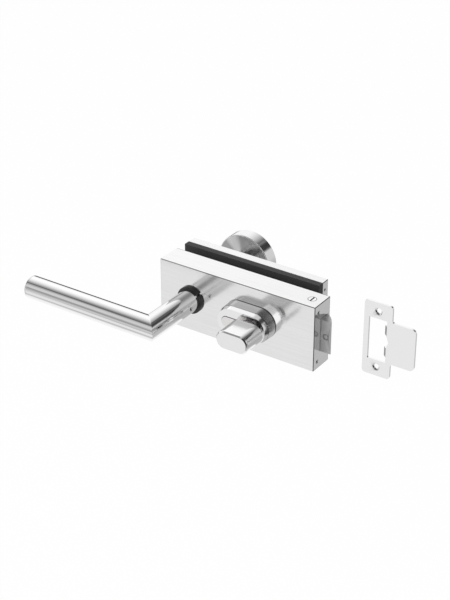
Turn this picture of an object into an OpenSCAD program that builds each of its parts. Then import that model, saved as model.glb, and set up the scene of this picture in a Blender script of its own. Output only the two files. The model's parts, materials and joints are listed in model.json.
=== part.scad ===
// Lock for a frameless glass door: lever handle, oval turn knob on a profile cylinder, fixed outside knob
// and a loose strike plate.
// X runs along the case towards the latch, Y from the room side through the glass, Z up.
// The origin lies on the lever's axis, on the gasket face that the glass rests against.

/* [Case] */
// Length of the lock case
case_w = 161; // [160:0.5:164]
// Height of the lock case
case_h = 63; // [63:0.5:68]
// Depth of the lock case
case_d = 24.8; // [24.8:0.1:26]
// Wall of the case cover
case_wall = 1.5; // [1.2:0.1:1.6]
// Lever axis, measured from the left end of the case
lever_inset = 33; // [32:0.5:34]
// Distance from the lever axis to the cylinder axis
axis_spacing = 72; // [71.5:0.1:72.5]
// Thickness of the base plate behind the mechanism
base_t = 2; // [1.8:0.1:2]
// Distance of the end screws from the middle of the case's height
end_screw_z = 24; // [23.5:0.1:24.5]
// Diameter of the end screws
end_screw_d = 4; // [3.5:0.1:4.2]
// Head of the slotted screw in the top wall
top_screw_head_d = 8; // [7:0.5:8.5]

/* [Glass clamp] */
// Thickness of the glass
glass_t = 10; // [9.5:0.1:10.5]
// Thickness of the gasket on the case
gasket_t = 0.6; // [0.4:0.1:0.8]
// Thickness of the black pad on the back plate
pad_t = 5.8; // [5:0.1:6.5]
// Depth of the back plate
plate_d = 9.4; // [9:0.1:10]
// Wall of the back plate's cover
plate_wall = 1.5; // [1.2:0.1:1.7]
// Distance from the left end of the case to the left end of the back plate
plate_inset = 1.4; // [1:0.1:2]
// Distance from the right end of the back plate to the right end of the case
plate_short = 17.3; // [16.3:0.5:18.3]
// Thickness of the clamp plate inside the back cover
clamp_t = 6; // [5.5:0.1:6.3]
// Thread diameter of the clamp screws
clamp_screw_d = 6; // [5:0.5:6]

/* [Lever] */
// Outer diameter of the lever's tube
tube_d = 21.2; // [20.8:0.1:21.6]
// Wall of the lever's tube
tube_wall = 1.5; // [1.2:0.1:1.8]
// Distance from the case front to the middle of the grip
neck_reach = 61; // [57:0.5:66]
// Distance from the lever axis to the end of the grip
grip_len = 132.3; // [120:0.5:140]
// Wall of the black ring around the lever's tube
ring_wall = 2.35; // [2.15:0.05:2.85]
// Thickness of the black ring
ring_t = 2.5; // [2:0.1:3]
// Width of the square spindle
spindle_w = 8; // [7.5:0.1:8]
// Distance from the case front to the neck's grub screw
grub_reach = 14.4; // [13:0.2:16]

/* [Latch] */
// Thickness of the latch bolt
latch_t = 12; // [11.5:0.1:12]
// Height of the latch bolt
latch_h = 31.2; // [30.8:0.1:31.4]
// Distance from the case front to the latch's flat flank
latch_y = 10.3; // [10.2:0.1:10.6]
// How far the latch stands out of the case
latch_out = 10.2; // [10.1:0.1:11]
// Radius of the curved bevel
bevel_r = 30; // [26:1:60]
// Width of the flat at the latch's tip
latch_tip = 0.8; // [0.5:0.1:1.2]

/* [Turn knob] */
// Depth of the inside collar
collar_d = 15; // [14.6:0.1:15.4]
// Half height of the collar at its foot
collar_r0 = 15.1; // [14.9:0.1:15.6]
// Half height of the collar at its front
collar_r1 = 14.1; // [13.8:0.1:14.6]
// Radius of the collar's rounded front edge
collar_edge = 1.8; // [1.2:0.1:2.2]
// Distance between the collar's round ends
collar_gap = 22.5; // [22:0.1:23.5]
// Distance from the cylinder axis to the middle of the collar
collar_off = 8.8; // [8.4:0.1:9.2]
// Radius of the round part of the cylinder
cyl_r = 8.5; // [8.4:0.05:8.5]
// Width of the cylinder's flat leg
leg_w = 10; // [9:0.2:10.4]
// Distance from the cylinder axis to the end of its leg
leg_reach = 28.6; // [28:0.1:29]
// Cylinder length from its middle to the room side
cyl_in = 27.5; // [27.2:0.1:28]
// Cylinder length from its middle to the outside
cyl_out = 50; // [49:0.5:51]
// Length of the grip
knob_len = 24; // [20:0.5:26]
// Half thickness of the grip at its front
knob_r1 = 8.7; // [8.4:0.1:9]
// Half thickness of the grip at its foot
knob_r0 = 9; // [8.6:0.1:9.6]
// Distance between the centres of the grip's round ends
knob_gap = 14.5; // [13.5:0.5:15.5]
// Radius of the grip's rounded front edge
knob_edge = 1.8; // [1:0.1:2.4]
// Free space between the cylinder's face and the grip
knob_stand = 3.6; // [3:0.1:4]

/* [Outside knob] */
// Diameter of the disc
disc_d = 55; // [50:0.5:58]
// Thickness of the disc
disc_t = 14; // [11:0.5:15]
// Free space between the back plate and the disc
disc_reach = 34.1; // [30:0.5:40]
// Diameter of the neck
outer_neck_d = 20; // [18:0.5:22]
// Depth of the outside collar
outer_collar_d = 9; // [8.5:0.1:9.5]

/* [Strike plate] */
// Width of the plate with the opening
strike_w = 27; // [26.5:0.5:29]
// Height of the plate
strike_h = 71.2; // [69:0.2:74]
// Thickness of the sheet
strike_t = 2; // [1.5:0.1:2.5]
// Width of the latch opening
hole_w = 17.4; // [16.8:0.1:18]
// Height of the latch opening
hole_h = 40.6; // [39:0.2:42]
// Distance that the lip reaches past the plate
lip_w = 22.7; // [20:0.5:26]
// Height of the lip
lip_h = 40.4; // [38:0.2:43]
// Distance between the two screw holes
strike_pitch = 54.4; // [54:0.1:55]
// Diameter of the screw holes
strike_hole_d = 4.5; // [4:0.1:5]
// Clear distance from the latch's tip to the plate
strike_gap = 19.7; // [15:0.5:25]
// Plate front, measured from the gasket face
strike_y = 6; // [4:0.5:10]

/* [Hidden] */
$fn = 72;

// Clearance of running fits, per side
run_fit = 0.05;
// Clearance of loose parts, per side
loose = 0.3;
// Room that a cut-out leaves around the cylinder
cyl_play = 0.2;
// Play of a screw in its through hole, on the diameter
screw_play = 0.4;
// Gap between a cover and the plate inside it
cover_gap = 0.2;
// Depth of the hexagon sockets
socket_depth = 2;
// Small overlap that keeps cuts clean
cut = 0.1;

// Planes along Y
y_back = -gasket_t;
y_front = y_back - case_d;
y_base = y_back - base_t;
y_inner = y_front + case_wall;
y_pad = glass_t;
y_plate = glass_t + pad_t;
y_outer = y_plate + plate_d;

// Ends along X and Z
x_left = -lever_inset;
x_right = case_w - lever_inset;
z_top = case_h / 2;
plate_x0 = x_left + plate_inset;
plate_x1 = x_right - plate_short;
x_cyl = axis_spacing;
end_room = x_right - x_cyl;

// Layers of the mechanism: the latch's tail lies near the base plate, the locking slide in front of it
layer_t = 3;
tail_y1 = y_base - 1.2;
tail_y0 = tail_y1 - layer_t;
slide_y1 = tail_y0 - 2.7;
slide_y0 = slide_y1 - layer_t;

// Lever movement: the arm pulls the tail by latch_travel
latch_travel = 10;
arm_r = 16;
arm_w = 6;
hub_r = 9;
journal_r = 7;
hub_len = 15;
hub_gap = 0.4;
hub_y1 = y_base - hub_gap;
hub_y0 = hub_y1 - hub_len;
hook_gap = 3.4;
hook_w = 6;
hook_t = 4;
trail_gap = hook_gap + latch_travel;
spring_arm_y1 = hub_y1 - hub_len / 3;
spring_arm_y0 = spring_arm_y1 - arm_w;

// Lever
grip_y = y_front - neck_reach;
bush_bore_d = tube_d + 2 * run_fit;
bush_wall = 1.35;
bush_seat_d = bush_bore_d + 2 * bush_wall;
ring_d = bush_bore_d + 2 * ring_wall;
bush_y1 = y_front + 4.8;
notch_w = 1.8;
notch_sink = 0.4;
notch_angle = 40;
circlip_t = 1;
circlip_d = tube_d + 3.4;
circlip_y0 = bush_y1 + 0.2;
nose_y = circlip_y0 + circlip_t + 0.6;
plug_r = tube_d / 2 - tube_wall - run_fit;
plug_len = 42;
socket_len = 31;
groove_d = 2 * plug_r - 2;
grub_d = 4;
grub_y = y_front - grub_reach;
cap_depth = 4;

// Latch
latch_y0 = y_front + latch_y;
latch_y1 = latch_y0 + latch_t;
latch_x0 = x_right - end_room * 5 / 14;
latch_x1 = x_right + latch_out;
tail_z0 = 10;
tail_z1 = latch_h / 2;
tail_slot = 9;
tail_inset = 5;
tail_rivet_x = latch_x0 + tail_inset;
tail_rivet_z = (tail_z0 + tail_z1) / 2;
rod_r = 1.5;
rod_y = (latch_y0 + latch_y1) / 2;
rod_z = -11.5;
rod_depth = 7.5;
rivet_y0 = tail_y0 - 1.8;
guide_x0 = x_cyl + end_room * 2 / 7;
guide_t = 3;
guide_half_h = 4.2;
guide_foot_t = 1.5;
guide_foot_l = 5;
rod_tail = 4;
latch_screw_x = x_right + latch_out / 2;
latch_head_d = 6;
latch_head_t = 0.9;
latch_head_sink = 0.1;
latch_thread_d = 3;
latch_thread_l = 3.3;
latch_slot_angle = 25;
latch_spring_r = 3.2;

// Profile cylinder, with the cam in its slot
cyl_y = y_base - 10.9;
cyl_y0 = cyl_y - cyl_in;
cyl_y1 = cyl_y + cyl_out;
slot_half = 5;
cam_half = 4.5;
plug_bore_r = 6.5;
cam_r = 15;
cam_w = 6.4;
cam_ring_r = 8.3;
cam_key = 2;
cam_key_in = 1.7;
cam_rest = -45;
web_x = x_cyl - 9.5;
cyl_screw_reach = 18;
cyl_screw_x = x_cyl - cyl_screw_reach;
cyl_screw_d = 5;
cyl_screw_z1 = leg_w / 2 - 1;
key_slot_w = 2.2;
key_slot_l = 22;

// Turn knob on its shaft
knob_foot_y = cyl_y0 - knob_stand;
knob_bore_l = 12.2;
shaft_r = plug_bore_r - 1;
turn_pin_d = 3;
turn_pin_z1 = 1.8;
turn_pin_y = knob_foot_y - 7;

// Locking slide: the cam's tip moves it along X, and its slanted slot lowers the blocker
slide_travel = 21;
slide_x = x_cyl - slide_travel / 2;
slide_z0 = 11.5;
slide_arm_z0 = 16;
slide_z1 = 25.2;
notch_half = 4.4;
slide_left = 17;
slide_right = 13;
block_drop = 3;
block_reach = 23;
block_x = x_cyl + block_reach;
slide_arm_l = block_reach + 4;
block_pin_z = 22;
block_pin_r = 1.4;
slot_r = block_pin_r + loose;
guide_pin_x = x_cyl - 3;
guide_pin_z = 20.5;
pin_stand = 1;
block_z0 = tail_z1 + loose + block_drop;
block_half = 3;
block_top = block_pin_z + 4;
rail_w = 2;

// Clamp screws, the last one below the latch
last_screw_inset = 10.7;
screw_x = [-22, 34, plate_x1 - last_screw_inset];
screw_z = [0, 0, -23.5];
boss_r = 6;
boss_h = 4;
sleeve_r = 5;
head_r = 5;
head_h = 3;

// Lugs at the ends of the base plate take the end screws
lug_w = 4.8;
lug_h = 7;
lug_y0 = y_front + 2.9;
end_screw_y = y_front + 6.1;
end_screw_len = 6;
top_screw_x = x_right - 10.3;
top_screw_y = (y_front + y_back) / 2;
top_screw_d = 4;
top_block_y0 = y_front + 7.4;

// Coil springs, and the stop of the return spring
spring_wire_r = 0.5;
spring_x1 = 26.1;
return_spring_r = 2.6;
return_spring_z = -12.9;
stop_t = 3;

// Headless screws of the back cover
back_screw_y = y_plate + 3.8;
back_screw_z = 23.4;
back_screw_d = 3;
back_screw_len = 6;
back_screw_room = 8;

// Bolt of the outside knob
bolt_d = 8;
bolt_head_d = 13;
bolt_head_t = 4;
bolt_reach = 7.5;

// Strike plate, with its opening in the middle of the plate
strike_x0 = latch_x1 + strike_gap;
strike_x1 = strike_x0 + strike_w;
hole_x0 = strike_x0 + (strike_w - hole_w) / 2;
hole_x1 = hole_x0 + hole_w;
tab_z0 = 6;
tab_h = 8.7;
tab_len = 4.5;
vee = 1.9;
sink_d = 7.4;
inner_r = 2;
strike_r = 3;
lip_r = 4.5;
lip_root = 12;

// Hexagon socket of a screw, across its corners
function hex_d(screw_d) = 0.58 * screw_d;

// Box between two corners
module block(x0, x1, y0, y1, z0, z1) {
    translate([x0, y0, z0]) cube([x1 - x0, y1 - y0, z1 - z0]);
}

// Rods along the three axes
module rod_x(d, x0, x1, y, z) {
    translate([x0, y, z]) rotate([0, 90, 0]) cylinder(d = d, h = x1 - x0);
}

module rod_y(d, y0, y1, x, z) {
    translate([x, y0, z]) rotate([-90, 0, 0]) cylinder(d = d, h = y1 - y0);
}

module rod_z(d, z0, z1, x, y) {
    translate([x, y, z0]) cylinder(d = d, h = z1 - z0);
}

// Headless screw with a hexagon socket: its outer end at x0, its length going in direction dir along X
module set_screw_x(x0, dir, d, length, y, z) {
    translate([x0, y, z]) rotate([0, dir * 90, 0]) difference() {
        cylinder(d = d, h = length);
        translate([0, 0, -cut]) cylinder(d = hex_d(d), h = socket_depth + cut, $fn = 6);
    }
}

// Flat outline in X and Z, from y0 to y1
module sheet_y(y0, y1) {
    translate([0, y1, 0]) rotate([90, 0, 0]) linear_extrude(y1 - y0) children();
}

// Slot from one point to another, in X and Z
module slot_outline(x0, z0, x1, z1, r) {
    length = norm([x1 - x0, z1 - z0]);
    translate([x0, z0]) rotate(atan2(z1 - z0, x1 - x0)) {
        circle(r = r);
        translate([0, -r]) square([length, 2 * r]);
        translate([length, 0]) circle(r = r);
    }
}

// Outline of the profile cylinder: a round part with a flat leg to the left
module cylinder_outline(grow) {
    leg_x = leg_reach - leg_w / 2;
    translate([x_cyl, 0]) circle(r = cyl_r + grow);
    translate([x_cyl - leg_x, 0]) circle(d = leg_w + 2 * grow);
    translate([x_cyl - leg_x, -leg_w / 2 - grow]) square([leg_x, leg_w + 2 * grow]);
}

// Half section of a tapered boss with a rounded front edge: radius r0 at the foot, r1 at the front
function boss_section(r0, r1, depth, edge) =
    concat([[0, 0], [r0, 0]],
           [for (a = [0:15:90]) [r1 - edge + edge * cos(a), depth - edge + edge * sin(a)]],
           [[0, depth]]);

// Tapered boss with two round ends, along +Z, with its long side along X
module oblong_boss(r0, r1, depth, edge, gap) {
    section = boss_section(r0, r1, depth, edge);
    for (s = [-1, 1]) translate([s * gap / 2, 0, 0]) rotate_extrude() polygon(section);
    translate([-gap / 2, 0, 0]) rotate([90, 0, 90]) linear_extrude(gap)
        union() {
            polygon(section);
            mirror([1, 0]) polygon(section);
        }
}

// Coil of round wire along +X between two ends, as one unbroken tube
module coil_x(x0, x1, y, z, mean_r, turns) {
    steps = 10;
    sides = 6;
    n = turns * steps;
    pts = [for (i = [0:n], j = [0:sides - 1])
        let (a = 360 * i / steps, b = 360 * j / sides, r = mean_r + spring_wire_r * cos(b))
        [r * cos(a), r * sin(a), (x1 - x0 - 2 * spring_wire_r) * i / n + spring_wire_r * (1 + sin(b))]];
    walls = [for (i = [0:n - 1], j = [0:sides - 1])
        let (p = i * sides + j, q = i * sides + (j + 1) % sides)
        each [[p, q, q + sides], [p, q + sides, p + sides]]];
    caps = [[for (j = [sides - 1:-1:0]) j], [for (j = [0:sides - 1]) n * sides + j]];
    translate([x0, y, z]) rotate([0, 90, 0]) polyhedron(points = pts, faces = concat(walls, caps));
}

// Half space on the neck's side of the mitre, thick enough to cut the grip off
module mitre_cut(side) {
    reach = 2 * grip_len;
    translate([0, grip_y, 0]) rotate([0, 0, 45])
        translate([side > 0 ? 0 : -reach, -reach, -reach / 2]) cube([reach, 2 * reach, reach]);
}

module case_cover() {
    color("gainsboro") difference() {
        block(x_left, x_right, y_front, y_back, -z_top, z_top);
        block(x_left + case_wall, x_right - case_wall, y_inner, y_back + cut,
              -z_top + case_wall, z_top - case_wall);
        rod_y(bush_seat_d + 2 * run_fit, y_front - cut, y_inner + cut, 0, 0);
        sheet_y(y_front - cut, y_inner + cut) cylinder_outline(cyl_play);
        block(x_right - case_wall - cut, x_right + cut, latch_y0 - loose, latch_y1 + loose,
              -latch_h / 2 - loose, latch_h / 2 + loose);
        for (s = [-1, 1]) {
            rod_x(end_screw_d + 2 * run_fit, x_left - cut, x_right + cut, end_screw_y, s * end_screw_z);
        }
        rod_z(top_screw_head_d + 2 * run_fit, z_top - case_wall - cut, z_top + cut, top_screw_x, top_screw_y);
        rod_z(cyl_screw_d + screw_play, -z_top - cut, -z_top + case_wall + cut, cyl_screw_x, cyl_y);
    }
}

module base_plate() {
    side = case_wall + cover_gap;
    x0 = x_left + side;
    x1 = x_right - side;
    z1 = z_top - side;
    color("silver") difference() {
        union() {
            block(x0, x1, y_base, y_back, -z1, z1);
            for (i = [0:2]) rod_y(2 * boss_r, y_base - boss_h, y_base + cut, screw_x[i], screw_z[i]);
            // Lugs for the end screws, and the block for the top screw
            for (x = [x0, x1 - lug_w], s = [-1, 1]) {
                lug_z = s * end_screw_z;
                block(x, x + lug_w, lug_y0, y_base + cut, lug_z - lug_h / 2, lug_z + lug_h / 2);
            }
            block(top_screw_x - top_screw_d, x1 - lug_w + cut, top_block_y0, y_base + cut,
                  slide_z1 + loose, z1);
            // Guides of the blocker, pin of the locking slide and stop of the return spring
            for (s = [-1, 1]) {
                rail_x = block_x + s * (block_half + 0.4 + rail_w / 2) - rail_w / 2;
                block(rail_x, rail_x + rail_w, tail_y0, y_base + cut, tail_z1 + 2.4, block_top);
            }
            rod_y(2 * block_pin_r, slide_y0 - pin_stand, y_base + cut, guide_pin_x, guide_pin_z);
            block(spring_x1 + loose, spring_x1 + loose + stop_t, spring_arm_y0 - 0.6, y_base + cut,
                  return_spring_z - return_spring_r - 1.5, return_spring_z + return_spring_r + 1.3);
        }
        for (i = [0:2])
            rod_y(clamp_screw_d + screw_play, y_base - boss_h - cut, y_back + cut, screw_x[i], screw_z[i]);
        rod_y(2 * (journal_r + run_fit), y_base - cut, y_back + cut, 0, 0);
        sheet_y(y_base - cut, y_back + cut) cylinder_outline(cyl_play);
        for (s = [-1, 1]) rod_x(end_screw_d + 2 * run_fit, x0 - cut, x1 + cut, end_screw_y, s * end_screw_z);
        rod_z(top_screw_d + 2 * run_fit, z1 - 5, z1 + cut, top_screw_x, top_screw_y);
    }
}

module case_gasket() {
    color("dimgray") difference() {
        block(x_left + 0.5, x_right - 0.5, y_back, 0, -z_top + 0.5, z_top - 0.5);
        for (i = [0:2]) rod_y(2 * sleeve_r + 1, y_back - cut, cut, screw_x[i], screw_z[i]);
        sheet_y(y_back - cut, cut) cylinder_outline(0.5);
    }
}

// Ring with a small notch in its rim
module lever_bush() {
    color("black") difference() {
        union() {
            rod_y(ring_d, y_front - ring_t, y_front, 0, 0);
            rod_y(bush_seat_d, y_front - cut, bush_y1, 0, 0);
        }
        rod_y(bush_bore_d, y_front - ring_t - cut, bush_y1 + cut, 0, 0);
        rotate([0, -notch_angle, 0])
            block(ring_d / 2 - notch_w, ring_d, y_front - ring_t - cut, y_front + notch_sink,
                  -notch_w / 2, notch_w / 2);
    }
}

// Headless screws in both ends of the case, with hexagon sockets
module end_screws() {
    color("gray") for (z = [-end_screw_z, end_screw_z]) {
        set_screw_x(x_right - loose, -1, end_screw_d, end_screw_len, end_screw_y, z);
        set_screw_x(x_left + loose, 1, end_screw_d, end_screw_len, end_screw_y, z);
    }
}

module top_screw() {
    slot_w = 1.2;
    slot_half = top_screw_head_d / 2 - 0.6;
    color("silver") difference() {
        union() {
            rod_z(top_screw_head_d, z_top - case_wall, z_top, top_screw_x, top_screw_y);
            rod_z(top_screw_d, z_top - 6, z_top - case_wall + cut, top_screw_x, top_screw_y);
        }
        block(top_screw_x - slot_w / 2, top_screw_x + slot_w / 2,
              top_screw_y - slot_half, top_screw_y + slot_half, z_top - case_wall / 2, z_top + cut);
    }
}

// Bracket that holds the latch rod's free end and the latch spring
module latch_guide() {
    color("silver") difference() {
        union() {
            block(guide_x0, guide_x0 + guide_t, rod_y - guide_half_h, y_base,
                  rod_z - guide_half_h, rod_z + guide_half_h);
            block(guide_x0 - guide_foot_l, guide_x0 + cut, y_base - guide_foot_t, y_base,
                  rod_z - guide_half_h, rod_z + guide_half_h);
        }
        rod_x(2 * (rod_r + loose), guide_x0 - cut, guide_x0 + guide_t + cut, rod_y, rod_z);
    }
}

module clamp_screws() {
    color("silver") for (i = [0:2]) difference() {
        union() {
            rod_y(2 * head_r, y_base - boss_h - head_h, y_base - boss_h, screw_x[i], screw_z[i]);
            rod_y(clamp_screw_d, y_base - boss_h - cut, y_plate + clamp_t, screw_x[i], screw_z[i]);
        }
        rod_y(0.77 * clamp_screw_d, y_base - boss_h - head_h - cut, y_base - boss_h - head_h + socket_depth,
              screw_x[i], screw_z[i], $fn = 6);
    }
}

// Plastic sleeves between the screws and the glass
module screw_sleeves() {
    color("whitesmoke") for (i = [0:2]) difference() {
        rod_y(2 * sleeve_r, y_back, y_plate - 0.5, screw_x[i], screw_z[i]);
        rod_y(clamp_screw_d + screw_play, y_back - cut, y_plate, screw_x[i], screw_z[i]);
    }
}

module pad() {
    color("darkslategray") difference() {
        block(plate_x0 + 0.3, plate_x1 - 0.3, y_pad, y_plate, -z_top, z_top);
        for (i = [0:2]) rod_y(2 * sleeve_r + 1, y_pad - cut, y_plate + cut, screw_x[i], screw_z[i]);
        sheet_y(y_pad - cut, y_plate + cut) cylinder_outline(0.5);
    }
}

module clamp_plate() {
    side = plate_wall + cover_gap;
    color("silver") difference() {
        block(plate_x0 + side, plate_x1 - side, y_plate, y_plate + clamp_t, -z_top + side, z_top - side);
        for (i = [0:2]) rod_y(clamp_screw_d + 2 * run_fit, y_plate - cut, y_outer, screw_x[i], screw_z[i]);
        sheet_y(y_plate - cut, y_outer) cylinder_outline(cyl_play);
        rod_y(bolt_d + 2 * run_fit, y_plate - cut, y_outer, 0, 0);
        rod_y(bolt_head_d + screw_play, y_plate - cut, y_plate + bolt_head_t, 0, 0);
        for (s = [-1, 1]) {
            rod_x(back_screw_d + 2 * run_fit, plate_x0, plate_x0 + back_screw_room, back_screw_y,
                  s * back_screw_z);
            rod_x(back_screw_d + 2 * run_fit, plate_x1 - back_screw_room, plate_x1, back_screw_y,
                  s * back_screw_z);
        }
    }
}

module back_cover() {
    color("gainsboro") difference() {
        block(plate_x0, plate_x1, y_plate, y_outer, -z_top, z_top);
        block(plate_x0 + plate_wall, plate_x1 - plate_wall, y_plate - cut, y_outer - plate_wall,
              -z_top + plate_wall, z_top - plate_wall);
        rod_y(bolt_d + 2 * run_fit, y_plate, y_outer + cut, 0, 0);
        sheet_y(y_plate, y_outer + cut) cylinder_outline(cyl_play);
        for (s = [-1, 1])
            rod_x(back_screw_d + 2 * run_fit, plate_x0 - cut, plate_x1 + cut, back_screw_y, s * back_screw_z);
    }
}

module back_cover_screws() {
    color("gray") for (z = [-back_screw_z, back_screw_z]) {
        set_screw_x(plate_x1 - cover_gap, -1, back_screw_d, back_screw_len, back_screw_y, z);
        set_screw_x(plate_x0 + cover_gap, 1, back_screw_d, back_screw_len, back_screw_y, z);
    }
}

module grip_tube() {
    color("lightgray") difference() {
        rod_x(tube_d, -grip_len + tube_wall, tube_d, grip_y, 0);
        rod_x(tube_d - 2 * tube_wall, -grip_len, tube_d + cut, grip_y, 0);
        mitre_cut(1);
    }
}

// Disc welded into the free end of the grip
module grip_cap() {
    color("lightgray") union() {
        rod_x(tube_d, -grip_len, -grip_len + tube_wall, grip_y, 0);
        rod_x(2 * plug_r, -grip_len + tube_wall - cut, -grip_len + cap_depth, grip_y, 0);
    }
}

module neck_tube() {
    color("lightgray") difference() {
        rod_y(tube_d, grip_y - tube_d, bush_y1 - 0.2, 0, 0);
        rod_y(tube_d - 2 * tube_wall, grip_y - tube_d - cut, bush_y1, 0, 0);
        mitre_cut(-1);
        rod_x(grub_d + 2 * run_fit, 0, tube_d, grub_y, 0);
    }
}

// Core of the neck, with the square socket for the spindle and the groove for the circlip
module neck_plug() {
    color("silver") difference() {
        rod_y(2 * plug_r, nose_y - plug_len, nose_y, 0, 0);
        block(-spindle_w / 2 - run_fit, spindle_w / 2 + run_fit, nose_y - socket_len, nose_y + cut,
              -spindle_w / 2 - run_fit, spindle_w / 2 + run_fit);
        rod_x(grub_d + 2 * run_fit, 0, tube_d, grub_y, 0);
        difference() {
            rod_y(circlip_d, circlip_y0, circlip_y0 + circlip_t + run_fit, 0, 0);
            rod_y(groove_d, circlip_y0 - cut, circlip_y0 + circlip_t + cut, 0, 0);
        }
    }
}

module lever_grub_screw() {
    color("dimgray") difference() {
        rod_x(grub_d, spindle_w / 2 + 0.02, tube_d / 2 - 0.6, grub_y, 0);
        rod_x(hex_d(grub_d), tube_d / 2 - 0.6 - socket_depth, tube_d / 2, grub_y, 0, $fn = 6);
    }
}

module neck_circlip() {
    color("dimgray") difference() {
        rod_y(circlip_d, circlip_y0 + run_fit, circlip_y0 + circlip_t, 0, 0);
        rod_y(groove_d + 2 * run_fit, circlip_y0 - cut, circlip_y0 + circlip_t + cut, 0, 0);
        block(-3, 3, circlip_y0 - cut, circlip_y0 + circlip_t + cut, -tube_d, 0);
    }
}

module spindle() {
    color("silver") block(-spindle_w / 2, spindle_w / 2, nose_y - socket_len + 1, y_base + 0.9,
                          -spindle_w / 2, spindle_w / 2);
}

// Hub with an upper arm for the latch's tail and a lower arm for the return spring
module follower() {
    color("silver") difference() {
        union() {
            rod_y(2 * hub_r, hub_y0, hub_y1, 0, 0);
            rod_y(2 * journal_r, hub_y1 - cut, y_back - 0.2, 0, 0);
            intersection() {
                union() {
                    block(-arm_w / 2, arm_w / 2, tail_y0, tail_y1, 0, arm_r);
                    block(-arm_w / 2, arm_w / 2, spring_arm_y0, spring_arm_y1, -arm_r, 0);
                }
                rod_y(2 * arm_r, hub_y0, hub_y1, 0, 0);
            }
        }
        block(-spindle_w / 2 - run_fit, spindle_w / 2 + run_fit, hub_y0 - cut, y_back,
              -spindle_w / 2 - run_fit, spindle_w / 2 + run_fit);
    }
}

// Bolt with a flat flank towards the room and a curved bevel towards the glass
module latch_bolt() {
    tip = [latch_x1, latch_y0 + latch_tip];
    heel = [x_right, latch_y1];
    mid = (tip + heel) / 2;
    chord = norm(tip - heel);
    side = [heel[1] - tip[1], tip[0] - heel[0]] / chord;
    centre = mid - side * sqrt(bevel_r * bevel_r - chord * chord / 4);
    head_y1 = latch_y0 + latch_head_sink + latch_head_t;
    color("darkgray") difference() {
        intersection() {
            block(latch_x0, latch_x1, latch_y0, latch_y1, -latch_h / 2, latch_h / 2);
            union() {
                rod_z(2 * bevel_r, -latch_h, latch_h, centre[0], centre[1], $fn = 120);
                block(latch_x0 - cut, x_right, latch_y0 - cut, latch_y1 + cut, -latch_h, latch_h);
            }
        }
        block(latch_x0 - cut, latch_x0 + tail_slot, tail_y0 - run_fit, tail_y1 + run_fit,
              tail_z0 - run_fit, latch_h);
        rod_y(2 * (rod_r + run_fit), rivet_y0 - 0.2, latch_y1 + cut, tail_rivet_x, tail_rivet_z);
        rod_x(2 * (rod_r + run_fit), latch_x0 - cut, latch_x0 + rod_depth + 0.5, rod_y, rod_z);
        rod_y(latch_head_d + 2 * run_fit, latch_y0 - cut, head_y1, latch_screw_x, 0);
        rod_y(latch_thread_d + 2 * run_fit, latch_y0, head_y1 + latch_thread_l + 0.2, latch_screw_x, 0);
    }
}

// Flat bar from the bolt over the cylinder to the follower's arm, with a notch for the blocker
module latch_tail() {
    head_z = arm_r + hook_t;
    color("silver") difference() {
        union() {
            block(-hook_gap - hook_w, latch_x0 + tail_slot - 0.2, tail_y0, tail_y1, tail_z0, tail_z1);
            block(-hook_gap - hook_w, trail_gap + hook_w, tail_y0, tail_y1, tail_z0, head_z);
        }
        block(-hook_gap, trail_gap, tail_y0 - cut, tail_y1 + cut, tail_z0 - cut, arm_r + 1);
        block(block_x - block_half - 0.5, block_x + block_half + 0.5, tail_y0 - cut, tail_y1 + cut,
              tail_z1 - 2.5, tail_z1 + cut);
        rod_y(2 * (rod_r + run_fit), tail_y0 - cut, tail_y1 + cut, tail_rivet_x, tail_rivet_z);
    }
}

module latch_rivet() {
    color("gray") rod_y(2 * rod_r, rivet_y0, latch_y1 - 0.1, tail_rivet_x, tail_rivet_z);
}

module latch_rod() {
    color("gray") rod_x(2 * rod_r, guide_x0 - rod_tail, latch_x0 + rod_depth, rod_y, rod_z);
}

module latch_screw() {
    slot_w = 0.9;
    slot_half = latch_head_d / 2 - 0.4;
    y0 = latch_y0 + latch_head_sink;
    y1 = y0 + latch_head_t;
    color("silver") difference() {
        union() {
            rod_y(latch_head_d, y0, y1, latch_screw_x, 0);
            rod_y(latch_thread_d, y1 - cut, y1 + latch_thread_l - cut, latch_screw_x, 0);
        }
        translate([latch_screw_x, 0, 0]) rotate([0, latch_slot_angle, 0])
            block(-slot_w / 2, slot_w / 2, latch_y0, y0 + latch_head_t / 2, -slot_half, slot_half);
    }
}

module latch_spring() {
    color("gray") coil_x(guide_x0 + guide_t + 0.2, latch_x0 - 0.2, rod_y, rod_z, latch_spring_r, 6);
}

module return_spring() {
    spring_y = (spring_arm_y0 + spring_arm_y1) / 2;
    color("gray") coil_x(arm_w / 2 + loose, spring_x1, spring_y, return_spring_z, return_spring_r, 8);
}

// Hollow oval collar over the cylinder
module collar(depth, r0, r1) {
    shell = 2.5;
    difference() {
        oblong_boss(r0, r1, depth, collar_edge, collar_gap);
        translate([0, 0, -cut]) oblong_boss(r0 - shell, r0 - shell - 1, depth - shell, 0.2, collar_gap);
    }
}

module inside_collar() {
    color("lightgray") difference() {
        translate([x_cyl - collar_off, y_front, 0]) rotate([90, 0, 0])
            collar(collar_d, collar_r0, collar_r1);
        sheet_y(y_front - collar_d - cut, y_front + cut) cylinder_outline(2 * cyl_play);
    }
}

module outside_collar() {
    color("lightgray") difference() {
        translate([x_cyl - collar_off, y_outer, 0]) rotate([-90, 0, 0])
            collar(outer_collar_d, collar_r0, collar_r0);
        sheet_y(y_outer - cut, y_outer + outer_collar_d + cut) cylinder_outline(2 * cyl_play);
    }
}

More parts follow.
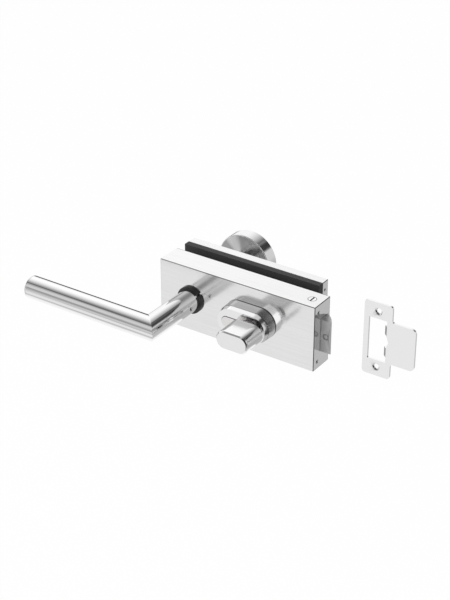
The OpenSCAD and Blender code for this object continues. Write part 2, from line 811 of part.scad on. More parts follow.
// Profile cylinder with a plug bore and a slot for the cam; a web of the leg joins its two halves
module cylinder_body() {
    color("lightgray") difference() {
        sheet_y(cyl_y0, cyl_y1) cylinder_outline(0);
        rod_y(2 * plug_bore_r, cyl_y0 - cut, cyl_y1 + cut, x_cyl, 0);
        block(web_x, x_cyl + cyl_r + cut, cyl_y - slot_half, cyl_y + slot_half, -cyl_r - cut, cyl_r + cut);
        rod_z(cyl_screw_d + 2 * run_fit, -cyl_r, cyl_screw_z1, cyl_screw_x, cyl_y);
    }
}

module cylinder_screw() {
    color("silver") difference() {
        rod_z(cyl_screw_d, -z_top + 0.2, cyl_screw_z1 - 0.5, cyl_screw_x, cyl_y);
        rod_z(hex_d(cyl_screw_d), -z_top, -z_top + socket_depth, cyl_screw_x, cyl_y, $fn = 6);
    }
}

// Keyed plug of the outside half
module outer_plug() {
    color("goldenrod") difference() {
        rod_y(2 * (plug_bore_r - run_fit), cyl_y + slot_half + 0.2, cyl_y1, x_cyl, 0);
        block(x_cyl - 4.5, x_cyl + 4, cyl_y1 - key_slot_l, cyl_y1 + cut, -key_slot_w / 2, key_slot_w / 2);
    }
}

module turn_grip() {
    color("lightgray") difference() {
        translate([x_cyl, knob_foot_y, 0]) rotate([90, 0, 0])
            oblong_boss(knob_r0, knob_r1, knob_len, knob_edge, knob_gap);
        rod_y(2 * (shaft_r + run_fit), knob_foot_y - knob_bore_l, knob_foot_y + cut, x_cyl, 0);
        rod_z(turn_pin_d + 2 * run_fit, -knob_r0, 0, x_cyl, turn_pin_y);
    }
}

module turn_shaft() {
    key = cam_key + 2 * run_fit;
    color("silver") difference() {
        union() {
            rod_y(2 * (plug_bore_r - run_fit), cyl_y0 + 0.2, cyl_y + cam_half, x_cyl, 0);
            rod_y(2 * shaft_r, knob_foot_y - knob_bore_l + 0.2, cyl_y0 + 0.2 + cut, x_cyl, 0);
        }
        rod_z(turn_pin_d + 2 * run_fit, -knob_r0, turn_pin_z1 + 0.3, x_cyl, turn_pin_y);
        translate([x_cyl, 0, 0]) rotate([0, cam_rest, 0])
            block(-key / 2, key / 2, cyl_y - cam_half - 0.1, cyl_y + slot_half,
                  plug_bore_r - cam_key_in - 0.1, plug_bore_r);
    }
}

// Pin that holds the grip on its shaft
module turn_pin() {
    color("dimgray") rod_z(turn_pin_d, -knob_r1 - 0.1, turn_pin_z1, x_cyl, turn_pin_y);
}

// Ring with a tip outside and a key inside, which sits in the shaft
module cylinder_cam() {
    y0 = cyl_y - cam_half;
    y1 = cyl_y + cam_half;
    color("silver") translate([x_cyl, 0, 0]) rotate([0, cam_rest, 0]) union() {
        difference() {
            union() {
                rod_y(2 * cam_ring_r, y0, y1, 0, 0);
                intersection() {
                    block(-cam_w / 2, cam_w / 2, y0, y1, 0, cam_r);
                    rod_y(2 * cam_r, y0, y1, 0, 0);
                }
            }
            rod_y(2 * plug_bore_r, y0 - cut, y1 + cut, 0, 0);
        }
        block(-cam_key / 2, cam_key / 2, y0, y1, plug_bore_r - cam_key_in, plug_bore_r + 0.5);
    }
}

module lock_slide() {
    arm_x1 = x_cyl + slide_arm_l;
    color("silver") difference() {
        union() {
            block(slide_x - slide_left, slide_x + slide_right, slide_y0, slide_y1, slide_z0, slide_z1);
            block(slide_x, arm_x1, slide_y0, slide_y1, slide_arm_z0, slide_z1);
        }
        block(slide_x - notch_half, slide_x + notch_half, slide_y0 - cut, slide_y1 + cut, 0, cam_r + 0.6);
        sheet_y(slide_y0 - cut, slide_y1 + cut) {
            slot_outline(guide_pin_x - slide_travel, guide_pin_z, guide_pin_x, guide_pin_z, slot_r);
            slot_outline(block_x - slide_travel, block_pin_z - block_drop, block_x, block_pin_z, slot_r);
        }
    }
}

module blocker() {
    color("darkgray") difference() {
        block(block_x - block_half, block_x + block_half, tail_y0, tail_y1, block_z0, block_top);
        rod_y(2 * (block_pin_r + run_fit), tail_y0 - cut, tail_y1 + cut, block_x, block_pin_z);
    }
}

module blocker_pin() {
    color("gray") rod_y(2 * block_pin_r, slide_y0 - 0.6, tail_y1, block_x, block_pin_z);
}

// Turned disc, bored for the neck's bolt
module outside_disc() {
    edge = 0.8;
    y0 = y_outer + disc_reach;
    color("silver") difference() {
        translate([0, y0, 0]) rotate([-90, 0, 0]) rotate_extrude($fn = 120)
            polygon([[0, 0], [disc_d / 2 - edge, 0], [disc_d / 2, edge], [disc_d / 2, disc_t - edge],
                     [disc_d / 2 - edge, disc_t], [0, disc_t]]);
        rod_y(bolt_d + 2 * run_fit, y0 - cut, y0 + bolt_reach + 0.5, 0, 0);
    }
}

module outside_neck() {
    color("silver") difference() {
        rod_y(outer_neck_d, y_outer, y_outer + disc_reach, 0, 0);
        rod_y(bolt_d + 2 * run_fit, y_outer - cut, y_outer + disc_reach + cut, 0, 0);
    }
}

module outside_bolt() {
    color("gray") difference() {
        union() {
            rod_y(bolt_head_d, y_plate + 0.2, y_plate + bolt_head_t, 0, 0);
            rod_y(bolt_d, y_plate + bolt_head_t - cut, y_outer + disc_reach + bolt_reach, 0, 0);
        }
        rod_y(6.9, y_plate, y_plate + bolt_head_t - 1, 0, 0, $fn = 6);
    }
}

// Rounded rectangle between two corners
module round_rect(x0, z0, x1, z1, r) {
    translate([x0 + r, z0]) square([x1 - x0 - 2 * r, z1 - z0]);
    translate([x0, z0 + r]) square([x1 - x0, z1 - z0 - 2 * r]);
    for (x = [x0 + r, x1 - r], z = [z0 + r, z1 - r]) translate([x, z]) circle(r = r);
}

// Tab beside the opening, bent back by half a right angle to take up the latch's play
module strike_tab(z0) {
    run = tab_len * cos(45);
    skew = strike_t * cos(45);
    y0 = strike_y;
    translate([0, 0, z0]) linear_extrude(tab_h) polygon([
        [hole_x1 + 1, y0], [hole_x1, y0], [hole_x1 - run, y0 + run],
        [hole_x1 - run + skew, y0 + run + skew], [hole_x1 + strike_t * tan(22.5), y0 + strike_t],
        [hole_x1 + 1, y0 + strike_t]]);
}

// Flat strike plate with a lip and two countersunk holes
module strike_plate() {
    hole_x = (strike_x0 + strike_x1) / 2;
    y1 = strike_y + strike_t;
    color("gainsboro") difference() {
        sheet_y(strike_y, y1) {
            round_rect(strike_x0, -strike_h / 2, strike_x1, strike_h / 2, strike_r);
            round_rect(strike_x1 - lip_root, -lip_h / 2, strike_x1 + lip_w, lip_h / 2, lip_r);
            for (s = [-1, 1]) translate([strike_x1, s * lip_h / 2]) difference() {
                square(2 * inner_r, center = true);
                translate([inner_r, s * inner_r]) circle(r = inner_r);
            }
        }
        block(hole_x0, hole_x1, strike_y - cut, y1 + cut, -hole_h / 2, hole_h / 2);
        sheet_y(strike_y - cut, y1 + cut)
            polygon([[hole_x1 - cut, -tab_z0], [hole_x1 + vee, 0], [hole_x1 - cut, tab_z0]]);
        for (s = [-1, 1]) translate([hole_x, strike_y, s * strike_pitch / 2]) rotate([-90, 0, 0]) {
            translate([0, 0, -cut]) cylinder(d = strike_hole_d, h = strike_t + 2 * cut);
            cylinder(d1 = sink_d, d2 = strike_hole_d, h = (sink_d - strike_hole_d) / 2);
        }
    }
    color("gainsboro") for (z = [tab_z0, -tab_z0 - tab_h]) strike_tab(z);
}

case_cover();
base_plate();
case_gasket();
lever_bush();
end_screws();
top_screw();
latch_guide();
clamp_screws();
screw_sleeves();
pad();
clamp_plate();
back_cover();
back_cover_screws();
grip_tube();
grip_cap();
neck_tube();
neck_plug();
lever_grub_screw();
neck_circlip();
spindle();
follower();
latch_bolt();
latch_tail();
latch_rivet();
latch_rod();
latch_screw();
latch_spring();
return_spring();
inside_collar();
outside_collar();
cylinder_body();
cylinder_screw();
outer_plug();
turn_grip();
turn_shaft();
turn_pin();
cylinder_cam();
lock_slide();
blocker();
blocker_pin();
outside_disc();
outside_neck();
outside_bolt();
strike_plate();
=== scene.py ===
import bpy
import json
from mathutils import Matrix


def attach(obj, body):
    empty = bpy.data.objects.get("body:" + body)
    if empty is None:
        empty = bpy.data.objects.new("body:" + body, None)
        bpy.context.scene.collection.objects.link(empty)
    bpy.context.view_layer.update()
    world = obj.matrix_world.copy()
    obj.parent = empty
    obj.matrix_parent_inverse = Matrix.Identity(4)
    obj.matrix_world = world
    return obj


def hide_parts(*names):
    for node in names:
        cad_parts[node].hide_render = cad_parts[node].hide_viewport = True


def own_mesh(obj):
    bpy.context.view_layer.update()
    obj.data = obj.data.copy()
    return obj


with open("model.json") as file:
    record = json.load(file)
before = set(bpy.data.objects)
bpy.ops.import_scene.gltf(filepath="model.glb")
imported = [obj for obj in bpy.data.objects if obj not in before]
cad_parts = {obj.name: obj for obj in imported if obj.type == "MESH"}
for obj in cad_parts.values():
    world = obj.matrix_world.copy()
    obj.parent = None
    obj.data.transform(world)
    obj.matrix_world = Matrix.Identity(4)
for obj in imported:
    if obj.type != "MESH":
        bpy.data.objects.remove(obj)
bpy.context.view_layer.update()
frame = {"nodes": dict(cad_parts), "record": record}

import json
import math

import bmesh
import bpy
from mathutils import Vector

print("frame loaded:", len(frame["nodes"]), "nodes")


# shader maths: a socket that takes part in plain arithmetic
class Wire:
    def __init__(self, tree, socket=None):
        self.tree = tree
        self.socket = socket

    def node(self, kind, settings=None, inputs=None, out=0):
        made = self.tree.nodes.new(kind)
        for name, value in (settings or {}).items():
            setattr(made, name, value)
        for key, value in (inputs or {}).items():
            if isinstance(value, Wire):
                self.tree.links.new(value.socket, made.inputs[key])
            else:
                made.inputs[key].default_value = value
        return Wire(self.tree, made.outputs[out])

    def out(self, key):
        # another output of the node that this value comes from
        return Wire(self.tree, self.socket.node.outputs[key])

    def maths(self, operation, first, second):
        return self.node("ShaderNodeMath", {"operation": operation}, {0: first, 1: second})

    def __add__(self, other):
        return self.maths("ADD", self, other)

    __radd__ = __add__

    def __sub__(self, other):
        return self.maths("SUBTRACT", self, other)

    def __rsub__(self, other):
        return self.maths("SUBTRACT", other, self)

    def __mul__(self, other):
        return self.maths("MULTIPLY", self, other)

    __rmul__ = __mul__

    def __truediv__(self, other):
        return self.maths("DIVIDE", self, other)

    def __rtruediv__(self, other):
        return self.maths("DIVIDE", other, self)

    def __abs__(self):
        return self.maths("ABSOLUTE", self, 0)

    def top(self, other):
        return self.maths("MAXIMUM", self, other)

    def axes(self):
        # the x, y and z of a vector
        split = self.node("ShaderNodeSeparateXYZ", None, {0: self})
        return split, split.out(1), split.out(2)

    def between(self, low, high, toLow=0.0, toHigh=1.0, shape="SMOOTHSTEP"):
        # as this value goes from low to high, the new one goes from toLow to toHigh
        return self.node("ShaderNodeMapRange", {"interpolation_type": shape},
                         {0: self, 1: low, 2: high, 3: toLow, 4: toHigh})

    def fadeOut(self, low, high):
        return self.between(low, high, 1.0, 0.0)

    def sway(self, amount):
        # a noise value made to swing about zero
        return (self - 0.5) * amount

    def blend(self, other, share):
        # this value where share is 0, the other where it is 1
        return self.node("ShaderNodeMix", {"data_type": "FLOAT"}, {0: share, 2: self, 3: other})

    def tint(self, first, second):
        # a colour between two, with this value as the share
        ends = [end if isinstance(end, Wire) else (*end, 1) for end in (first, second)]
        return self.node("ShaderNodeMix", {"data_type": "RGBA"}, {0: self, 6: ends[0], 7: ends[1]}, out=2)


def startMaterial(name):
    material = bpy.data.materials.new(name)
    material.use_nodes = True
    material.node_tree.nodes.clear()
    return material, Wire(material.node_tree)


def closeMaterial(sheet, shader, kind="ShaderNodeOutputMaterial"):
    output = sheet.tree.nodes.new(kind)
    sheet.tree.links.new(shader.socket, output.inputs[0])


def closeSurface(sheet, inputs):
    closeMaterial(sheet, sheet.node("ShaderNodeBsdfPrincipled", None, inputs))


def shades(colour, swing):
    # the same colour darker and lighter by a share
    return [max(0.0, c * (1 - swing)) for c in colour], [min(1.0, c * (1 + swing)) for c in colour]


def noise(place, scale, detail=2.0, rough=0.5):
    return place.node("ShaderNodeTexNoise", None,
                      {"Vector": place, "Scale": scale, "Detail": detail, "Roughness": rough})


def bump(height, depth):
    return height.node("ShaderNodeBump", None, {"Strength": 1.0, "Distance": depth, "Height": height})


def fromCentre(place, centre, flat):
    # the way from a centre to each point, and its length; flat has a 0 for each axis that doesn't count
    moved = tuple(-c * f for c, f in zip(centre, flat))
    way = place.node("ShaderNodeMapping", None, {0: place, 1: moved, 3: flat})
    return way, way.node("ShaderNodeVectorMath", {"operation": "LENGTH"}, {0: way}, out=1)


# metal finishes: fine lines and soft clouds, stretched along the grinding direction
# lines is how many lie in a metre along x, y and z, and dent is how deep they are in metres;
# swing is how far the colour varies, and spread how far the roughness does
metals = {
    "steel_brushed": {"name": "brushedSheet", "colour": (0.9, 0.9, 0.9), "rough": 0.15,
                      "lines": (14, 900, 900), "swing": 0.05, "spread": 0.05, "dent": 0.0000012},
    "steel_satin": {"name": "satinTube", "colour": (0.92, 0.92, 0.92), "rough": 0.09,
                    "lines": (22, 22, 1500), "swing": 0.03, "spread": 0.03, "dent": 0.0000004},
    "latch_metal": {"name": "sinteredLatch", "colour": (0.62, 0.62, 0.62), "rough": 0.42,
                    "lines": (1400, 1400, 1400), "swing": 0.1, "spread": 0.12, "dent": 0.000012},
    "zinc_plated": {"name": "zincPlate", "colour": (0.6, 0.61, 0.63), "rough": 0.3,
                    "lines": (300, 300, 300), "swing": 0.1, "spread": 0.08, "dent": 0.000004},
    "spring_steel": {"name": "springWire", "colour": (0.5, 0.5, 0.52), "rough": 0.25,
                     "lines": (300, 300, 300), "swing": 0.08, "spread": 0.05, "dent": 0.0},
    "brass": {"name": "turnedBrass", "colour": (0.78, 0.6, 0.32), "rough": 0.25,
              "lines": (40, 2500, 40), "swing": 0.06, "spread": 0.05, "dent": 0.000002},
    "cylinder_nickel": {"name": "nickelFace", "colour": (0.93, 0.905, 0.905), "rough": 0.28,
                        "lines": (1200, 1200, 1200), "swing": 0.02, "spread": 0.06, "dent": 0.000001},
}

# finishes that single pieces have in place of their slot's own
# foot is where along y the plane lies that the piece stands on, in metres; a painted shadow line is drawn
# there
special = {
    "strike_plate": {"name": "satinPlate", "colour": (0.97, 0.97, 0.97), "rough": 0.16,
                     "lines": (900, 900, 14), "swing": 0.015, "spread": 0.04, "dent": 0.0000006},
    "inside_collar": {"name": "polishedCollar", "colour": (0.93, 0.93, 0.93), "rough": 0.08,
                      "lines": (30, 900, 30), "swing": 0.02, "spread": 0.03, "dent": 0.0000003,
                      "foot": -0.0254},
    "turn_grip": {"name": "polishedGrip", "colour": (0.92, 0.92, 0.92), "rough": 0.13,
                  "lines": (30, 900, 30), "swing": 0.02, "spread": 0.03, "dent": 0.0000003},
    "turn_shaft": {"name": "platedShaft", "colour": (0.55, 0.54, 0.54), "rough": 0.3,
                   "lines": (30, 1500, 30), "swing": 0.08, "spread": 0.06, "dent": 0.000001},
}
special["outside_collar"] = dict(special["inside_collar"], name="polishedOuterCollar", foot=0.0252)

# what all metal finishes share: the weight of lines and clouds in the colour, and the painted shadow at a
# foot
metalGrain = {"lineShare": 1.6, "lineDetail": 3.0, "lineRough": 0.6, "clouds": 45.0, "cloudShare": 0.5,
              "footShadowFade": (0.0005, 0.0009), "footShadowColour": (0.06, 0.06, 0.06)}


def metalFinish(look):
    material, sheet = startMaterial(look["name"])
    place = sheet.node("ShaderNodeTexCoord").out("Object")
    stretched = sheet.node("ShaderNodeMapping", None, {0: place, 3: look["lines"]})
    lines = noise(stretched, 1.0, metalGrain["lineDetail"], metalGrain["lineRough"])
    cloud = noise(place, metalGrain["clouds"])
    share = lines.sway(metalGrain["lineShare"]) + cloud.sway(metalGrain["cloudShare"]) + 0.5
    rough = lines.sway(2 * look["spread"]) + cloud.sway(look["spread"]) + look["rough"]
    colour = share.tint(*shades(look["colour"], look["swing"]))
    # painted contact shadow: a dark line drawn into the colour where the piece stands on a cover
    if "foot" in look:  # the fine shadow line where the piece stands on a cover
        footShadow = abs(place.axes()[1] - look["foot"]).fadeOut(*metalGrain["footShadowFade"])
        colour = footShadow.tint(colour, metalGrain["footShadowColour"])
    inputs = {"Base Color": colour, "Metallic": 1.0, "Roughness": rough}
    if look["dent"]:
        inputs["Normal"] = bump(lines, look["dent"])
    closeSurface(sheet, inputs)
    return material


# the outside knob: a turned face with fine rings, darkened partly by its own tone and partly as painted
# shade, two pale wedges of painted highlight that stand in for its reflection, and a polished rim; faceFrom
# and edgeFrom say how far the surface faces along y, and the wedge limits how near a point is to the
# highlight's line
disc = {"name": "turnedDiscPaintedLight", "centre": (0, 0, 0), "flat": (1, 0, 1),
        "faceToneAndShade": (0.4, 0.4, 0.4), "faceSwing": 0.2, "faceRough": 0.22, "faceFrom": (0.85, 0.95),
        "rimColour": (0.92, 0.92, 0.92), "rimSwing": 0.04, "rimRough": 0.1,
        "edgeRough": 0.75, "edgeFrom": (0.15, 0.3),
        "highlightWedge": (-0.5, 0, 0.866), "highlightWedgeColour": (0.68, 0.68, 0.68), "highlightWedgeFrom": (0.93, 0.995),
        "rings": 2200.0, "ringDepth": 0.00002, "ringShare": 0.5,
        "clouds": 60.0, "cloudShare": 0.4, "spread": 0.06}


def turnedFinish(look):
    material, sheet = startMaterial(look["name"])
    place = sheet.node("ShaderNodeTexCoord").out("Object")
    way, radius = fromCentre(place, look["centre"], look["flat"])
    rings = sheet.node("ShaderNodeTexNoise", {"noise_dimensions": "1D"},
                       {"W": radius * look["rings"], "Scale": 1.0, "Detail": 2.0})
    cloud = noise(place, look["clouds"])
    straight = abs(sheet.node("ShaderNodeNewGeometry").out("Normal").axes()[1])
    face = straight.between(*look["faceFrom"])
    grey = rings.sway(look["ringShare"]) + cloud.sway(look["cloudShare"]) + 0.5
    along = sheet.node("ShaderNodeVectorMath", {"operation": "DOT_PRODUCT"},
                       {0: way, 1: look["highlightWedge"]}, out=1)
    # painted highlight: pale wedges along one line across the face, in place of the reflection a turned face
    # shows
    highlightWedge = abs(along / radius).between(*look["highlightWedgeFrom"])
    # the face's darker colour is partly its own tone and partly painted shade
    turned = highlightWedge.tint(grey.tint(*shades(look["faceToneAndShade"], look["faceSwing"])), look["highlightWedgeColour"])
    colour = face.tint(grey.tint(*shades(look["rimColour"], look["rimSwing"])), turned)
    worn = straight.between(*look["edgeFrom"]) * straight.fadeOut(*look["faceFrom"])
    rough = face.between(0, 1, look["rimRough"], look["faceRough"], "LINEAR") + cloud.sway(look["spread"])
    closeSurface(sheet, {"Base Color": colour, "Metallic": 1.0,
                         "Roughness": rough.blend(look["edgeRough"], worn),
                         "Normal": bump(rings * face, look["ringDepth"])})
    return material


# flush screws: painted shade as a dark outline where the head meets its hole, and as a dark slot; flat has a
# 0 for the axis that doesn't count in the outline's radius
flushScrews = {
    "top_screw": {"name": "brightScrew", "colour": (0.95, 0.95, 0.95), "rough": 0.2, "swing": 0.02,
                  "centre": (0.1177, -0.013, 0.0315), "flat": (1, 1, 0), "outline": 0.0036,
                  "slotDepth": 0.0002, "gapShadeColour": (0.04, 0.04, 0.04)},
    "latch_screw": {"name": "greyScrew", "colour": (0.6, 0.6, 0.6), "rough": 0.38, "swing": 0.1,
                    "centre": (0.1333, -0.0131, 0.0), "flat": (1, 1, 1), "outline": 0.0026,
                    "slotDepth": 0.0, "gapShadeColour": (0.4, 0.4, 0.4)},
}

# what both screws share: how softly the painted shade outline starts and ends, and how the metal varies
screwHead = {"softIn": 0.0002, "softOut": 0.0001, "gapRough": 0.6, "clouds": 600.0, "cloudShare": 0.8,
             "spread": 0.1}


def screwFinish(look):
    material, sheet = startMaterial(look["name"])
    place = sheet.node("ShaderNodeTexCoord").out("Object")
    radius = fromCentre(place, look["centre"], look["flat"])[1]
    # painted shade in the gap round the head and, on the top screw, in its slot
    gapShade = radius.between(look["outline"] - screwHead["softIn"], look["outline"] + screwHead["softOut"])
    if look["slotDepth"]:
        floor = look["centre"][2] - look["slotDepth"]
        gapShade = gapShade.top(place.axes()[2].fadeOut(floor - screwHead["softIn"], floor))
    cloud = noise(place, screwHead["clouds"])
    bright = (cloud.sway(screwHead["cloudShare"]) + 0.5).tint(*shades(look["colour"], look["swing"]))
    rough = (cloud.sway(screwHead["spread"]) + look["rough"]).blend(screwHead["gapRough"], gapShade)
    closeSurface(sheet, {"Base Color": gapShade.tint(bright, look["gapShadeColour"]), "Metallic": 1.0,
                         "Roughness": rough})
    return material


# rubber and plastic: speck is how many grains lie in a metre
softs = {
    "rubber_black": {"name": "blackRubber", "colour": (0.05, 0.05, 0.05), "rough": 0.7, "speck": 700.0,
                     "swing": 0.25, "spread": 0.12, "dent": 0.00003},
    "plastic_black": {"name": "blackPlastic", "colour": (0.012, 0.012, 0.012), "rough": 0.22, "speck": 500.0,
                      "swing": 0.25, "spread": 0.12, "dent": 0.00001},
    "plastic_white": {"name": "whitePlastic", "colour": (0.8, 0.8, 0.78), "rough": 0.4, "speck": 400.0,
                      "swing": 0.25, "spread": 0.12, "dent": 0.00001},
}


def plasticFinish(look):
    material, sheet = startMaterial(look["name"])
    place = sheet.node("ShaderNodeTexCoord").out("Object")
    grain = noise(place, look["speck"], 3.0)
    closeSurface(sheet, {"Base Color": grain.tint(*shades(look["colour"], look["swing"])),
                         "Roughness": grain.sway(look["spread"]) + look["rough"],
                         "Normal": bump(grain, look["dent"])})
    return material


finishes = {slot: metalFinish(look) for slot, look in metals.items()}
finishes.update({slot: plasticFinish(look) for slot, look in softs.items()})
finishes.update({node: metalFinish(look) for node, look in special.items()})
finishes.update({node: screwFinish(look) for node, look in flushScrews.items()})
finishes["outside_disc"] = turnedFinish(disc)
print("finishes ready:", len(finishes))

# dress the CAD nodes: a merged copy takes the place of each visible one and of both springs
# edge is the rounding and least the shortest edge that gets it, in mm; a spring's fixed end is in mm too
dress = {
    "case_cover": {"edge": 0.55, "least": 5, "steps": 1, "clamp": False},
    "back_cover": {"edge": 0.5, "least": 5, "steps": 1, "clamp": False},
    "inside_collar": {},
    "outside_collar": {},
    "turn_grip": {"edge": 0.2, "least": 0},
    "grip_tube": {},
    "neck_tube": {},
    "grip_cap": {"edge": 0.5, "least": 0},
    "strike_plate": {},
    "lever_bush": {"edge": 0.3, "least": 0},
    "outside_disc": {},
    "outside_neck": {},
    "latch_bolt": {"edge": 0.3, "least": 1.5},
    "pad": {"edge": 0.2, "least": 3},
    "top_screw": {"edge": 0.5, "least": 0, "steps": 1},
    "cylinder_body": {"edge": 0.2, "least": 0},
    "latch_spring": {"squash": "latch_slide", "fixedEnd": 91.2, "keep": 0.385},
    "return_spring": {"squash": "lever_turn", "fixedEnd": 26.1, "keep": 0.56},
}

# the inside collar and the turn knob end in a straight chamfer: deep along y and inset across it, in mm
# centre and gap place the two round ends along x, front is the face on y, wall the half height there, taper
# how much the wall widens with each mm, and round the rounding that the chamfer takes the place of
rims = {
    "inside_collar": {"centre": 63.2, "gap": 22.5, "front": -40.4, "wall": 14.1, "taper": 1 / 15,
                      "round": 1.8, "deep": 4.8, "inset": 1.35},
    "turn_grip": {"centre": 72.0, "gap": 14.5, "front": -68.6, "wall": 8.7, "taper": 0.3 / 24,
                  "round": 1.8, "deep": 1.6, "inset": 1.15},
}
rimSlack = {"ahead": 0.01, "beyond": 0.02}  # how far off that rounding a point may lie

# how the copies are made: points nearer than merge, in metres, become one; faces that differ by less than
# flatAngle become one; edges over sharpAngle are rounded, and shading breaks over smoothAngle, in degrees
meshing = {"merge": 0.000005, "flatAngle": 0.5, "sharpAngle": 35, "smoothAngle": 32, "steps": 3}

slotOf = {entry["node"]: entry["material_slot"] for entry in frame["record"]["subparts"]}
bodyOf = {node: body for body, nodes in frame["record"]["behaviour"]["bodies"].items() for node in nodes}


def addObject(name, data):
    obj = bpy.data.objects.new(name, data)
    bpy.context.scene.collection.objects.link(obj)
    return obj


def closeMesh(shape, name):
    mesh = bpy.data.meshes.new(name)
    shape.to_mesh(mesh)
    shape.free()
    return mesh


def chamferRim(shape, rim):
    wall = rim["wall"] + rim["taper"] * rim["deep"]
    for vert in shape.verts:
        x, y, z = vert.co * 1000
        mid = min(max(x, rim["centre"] - rim["gap"] / 2), rim["centre"] + rim["gap"] / 2)
        reach = math.hypot(x - mid, z)
        ahead = rim["front"] + rim["round"] - y
        beyond = reach - (rim["wall"] - rim["round"])
        if ahead < -rimSlack["ahead"] or beyond < -rimSlack["beyond"]:
            continue
        turn = math.atan2(max(ahead, 0), max(beyond, 0)) / (math.pi / 2)  # 0 at the wall, 1 at the face
        scale = (wall - rim["inset"] * turn) / reach
        front = rim["front"] + rim["deep"] * (1 - turn)
        vert.co = Vector((mid + (x - mid) * scale, front, z * scale)) * 0.001


def roundEdges(shape, look):
    sharpAngle = math.radians(meshing["sharpAngle"])
    sharp = [e for e in shape.edges if e.is_manifold and e.calc_face_angle(0) > sharpAngle
             and e.calc_length() > look["least"] * 0.001]
    bmesh.ops.bevel(shape, geom=sharp, offset=look["edge"] * 0.001, offset_type="OFFSET", affect="EDGES",
                    segments=look.get("steps", meshing["steps"]), profile=0.5, material=-1,
                    clamp_overlap=look.get("clamp", True))


def dressNode(node, look):
    shape = bmesh.new()
    shape.from_mesh(frame["nodes"][node].data)
    bmesh.ops.remove_doubles(shape, verts=shape.verts, dist=meshing["merge"])
    bmesh.ops.dissolve_limit(shape, angle_limit=math.radians(meshing["flatAngle"]),
                             verts=shape.verts, edges=shape.edges)
    if node in rims:
        chamferRim(shape, rims[node])
    if "edge" in look:
        roundEdges(shape, look)
    bmesh.ops.triangulate(shape, faces=[f for f in shape.faces if len(f.verts) > 4])
    mesh = closeMesh(shape, node + "Fine")
    piece = addObject(node + "Fine", mesh)
    mesh.shade_smooth()
    mesh.set_sharp_from_angle(angle=math.radians(meshing["smoothAngle"]))
    flatter = piece.modifiers.new("flatFaces", "WEIGHTED_NORMAL")  # large flat faces stay flat
    flatter.keep_sharp = True
    mesh.materials.append(finishes.get(node) or finishes[slotOf[node]])
    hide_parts(node)
    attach(piece, bodyOf[node])
    if "squash" in look:  # a spring gets a mesh of its own
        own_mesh(piece)
    return piece


pieces = {node: dressNode(node, look) for node, look in dress.items()}
for node, obj in frame["nodes"].items():
    if node not in dress:
        obj.data.materials.clear()
        obj.data.materials.append(finishes.get(node) or finishes[slotOf[node]])
print("pieces dressed:", len(pieces))

# studio: white floor, soft surroundings and one lamp
studio = {"floorDrop": 0.32, "floorSize": 6.0, "floorCells": 4, "floorWhite": 0.985,
          "paper": (0.8, 0.8, 0.8, 1), "white": (1, 1, 1, 1),
          "lampPower": 9.0, "lampSize": 0.7, "lampPlace": (-0.4, -0.95, 0.85), "lampAim": (0.05, 0, 0)}

# what metal sees in each direction: walls, a pale floor with a pool of light, and a large soft box at the
# back left; between the limits, along towards, each goes from its first level to its second
room = {
    "wall": {"towards": (-0.5, 0.6, 0), "limits": (0.1, 0.6), "levels": (0.66, 1.0), "shape": "SMOOTHSTEP"},
    "floor": {"towards": (-0.24, 0.247, -0.939), "limits": (0.655, 0.835), "levels": (0.52, 0.97),
              "shape": "LINEAR"},
    "softBox": {"towards": (-0.666, 0.508, 0.545), "limits": (0.527, 0.989), "levels": (0.0, 1.1),
                "shape": "LINEAR"},
    "floorEnds": (-0.3, 0.0),
    "band": {"depth": 0.32, "starts": {"z": (-0.103, 0.117)},
             "ends": {"z": (0.215, 0.331), "y": (-0.7, -0.45)}},
}

# dark parts above the walls, then cards in the order in which they are laid; starts and ends give the values
# between which a card fades in and out, for each axis of the direction or for its nearness to towards
overhead = {
    "ceiling": {"level": 0.06, "towards": (0, 0.083, 1), "starts": {"towards": (0.437, 0.756)}},
    "zenith": {"level": 0.6, "starts": {"z": (0.86, 0.95)}},
}
cards = {
    "paleFrontLeft": {"level": 0.84, "towards": (-0.481, -0.7225, -0.495),
                      "starts": {"towards": (0.955, 0.985)}},
    "darkRight": {"level": 0.04, "starts": {"x": (0.05, 0.3), "y": (-0.672, -0.645), "z": (-0.7, -0.52)},
                  "ends": {"y": (-0.36, -0.14)}},
    "brightAhead": {"level": 1.15, "starts": {"x": (0.25, 0.4), "z": (-0.35, -0.25)},
                    "ends": {"y": (-0.765, -0.735), "z": (0.3, 0.42)}},
    "greyAhead": {"level": 0.3, "starts": {"x": (-0.515, -0.495), "z": (0.25, 0.32)},
                  "ends": {"x": (-0.44, -0.4), "y": (-0.765, -0.735), "z": (0.5, 0.56)}},
    "darkCorner": {"level": 0.04, "towards": (0.45, 0.757, 0.474), "starts": {"towards": (0.972, 0.996)}},
    "darkLeft": {"level": 0.2, "starts": {"y": (0.3, 0.38), "z": (-0.66, -0.58)},
                 "ends": {"x": (-0.69, -0.655), "y": (0.55, 0.62), "z": (-0.4, -0.3)}},
}
# the dark gap beside the soft box, laid over it
gapCard = {"level": 0.1, "starts": {"x": (-0.615, -0.595), "y": (0.62, 0.76), "z": (-0.5, -0.36)},
           "ends": {"x": (-0.5, -0.46), "z": (0.12, 0.28)}}


def roomLevel(direction):
    axes = dict(zip("xyz", direction.axes()))

    def facing(towards):
        return axes["x"] * towards[0] + axes["y"] * towards[1] + axes["z"] * towards[2]

    def ramp(look):
        return facing(look["towards"]).between(*look["limits"], *look["levels"], look["shape"])

    def share(card):
        along = dict(axes)
        if "towards" in card:
            along["towards"] = facing(card["towards"])
        fades = [along[axis].between(*limits) for axis, limits in card["starts"].items()]
        fades += [along[axis].fadeOut(*limits) for axis, limits in card.get("ends", {}).items()]
        return math.prod(fades)

    level = ramp(room["wall"])
    for card in overhead.values():
        level = level.blend(card["level"], share(card))
    level = level.blend(ramp(room["floor"]), axes["z"].fadeOut(*room["floorEnds"]))
    level = level - share(room["band"]) * room["band"]["depth"]
    for card in cards.values():
        level = level.blend(card["level"], share(card))
    level = level.top(ramp(room["softBox"]))
    return level.blend(gapCard["level"], share(gapCard))


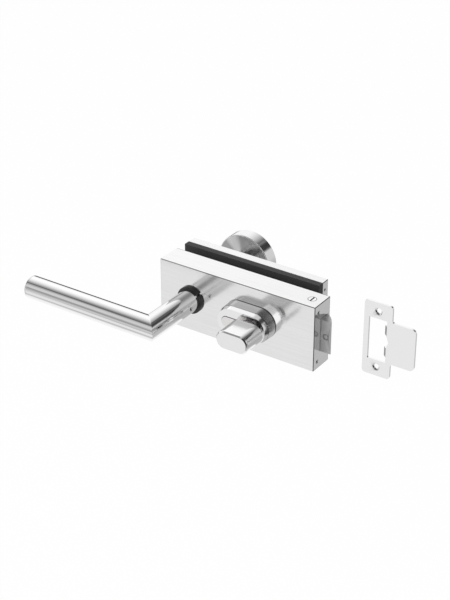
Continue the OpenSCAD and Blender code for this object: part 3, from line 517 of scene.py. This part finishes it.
def buildFloor():
    shape = bmesh.new()
    bmesh.ops.create_grid(shape, x_segments=studio["floorCells"], y_segments=studio["floorCells"],
                          size=studio["floorSize"])
    bmesh.ops.translate(shape, verts=shape.verts, vec=(0, 0, -studio["floorDrop"]))
    floor = addObject("studioFloor", closeMesh(shape, "studioFloor"))
    material, sheet = startMaterial("paleFloor")
    ray = sheet.node("ShaderNodeLightPath")
    glow = sheet.node("ShaderNodeEmission", None, {"Color": studio["white"], "Strength": 1.0})
    paper = sheet.node("ShaderNodeBsdfDiffuse", None, {"Color": studio["paper"]})
    # white to the camera, with a little of the paper left in so that it keeps the shadow
    share = ray * studio["floorWhite"]
    closeMaterial(sheet, sheet.node("ShaderNodeMixShader", None, {0: share, 1: paper, 2: glow}))
    floor.data.materials.append(material)
    floor.visible_glossy = False  # metal sees the room below, in its true direction


def buildSurroundings():
    world = bpy.data.worlds.new("softRoom")
    bpy.context.scene.world = world
    world.use_nodes = True
    world.node_tree.nodes.clear()
    sheet = Wire(world.node_tree)
    ray = sheet.node("ShaderNodeLightPath")
    level = roomLevel(sheet.node("ShaderNodeTexCoord")).blend(1.0, ray)  # plain white to the camera
    glow = sheet.node("ShaderNodeBackground", None, {"Color": studio["white"], "Strength": level})
    closeMaterial(sheet, glow, "ShaderNodeOutputWorld")


def aim(obj, direction):
    obj.rotation_euler = direction.to_track_quat("-Z", "Y").to_euler()


def buildLamp():
    lamp = bpy.data.lights.new("softLamp", "AREA")
    lamp.energy = studio["lampPower"]
    lamp.size = studio["lampSize"]
    obj = addObject("softLamp", lamp)
    obj.location = studio["lampPlace"]
    aim(obj, Vector(studio["lampAim"]) - obj.location)
    obj.visible_glossy = False


# the photograph's viewpoint: place in metres, angles in degrees
view = {"lens": 94.4, "sensor": 36, "place": (0.71062, -1.01862, 0.67975), "azimuth": 34.16, "rise": 29.13,
        "near": 0.05, "far": 20}


def buildCamera():
    camera = bpy.data.cameras.new("photoCamera")
    camera.lens = view["lens"]
    camera.sensor_width = view["sensor"]
    camera.clip_start = view["near"]
    camera.clip_end = view["far"]
    obj = addObject("photoCamera", camera)
    obj.location = view["place"]
    azimuth = math.radians(view["azimuth"])
    rise = math.radians(view["rise"])
    back = Vector((math.sin(azimuth) * math.cos(rise), -math.cos(azimuth) * math.cos(rise), math.sin(rise)))
    aim(obj, -back)
    bpy.context.scene.camera = obj


buildFloor()
buildSurroundings()
buildLamp()
buildCamera()
bpy.context.scene.view_settings.view_transform = "Standard"
print("studio ready")
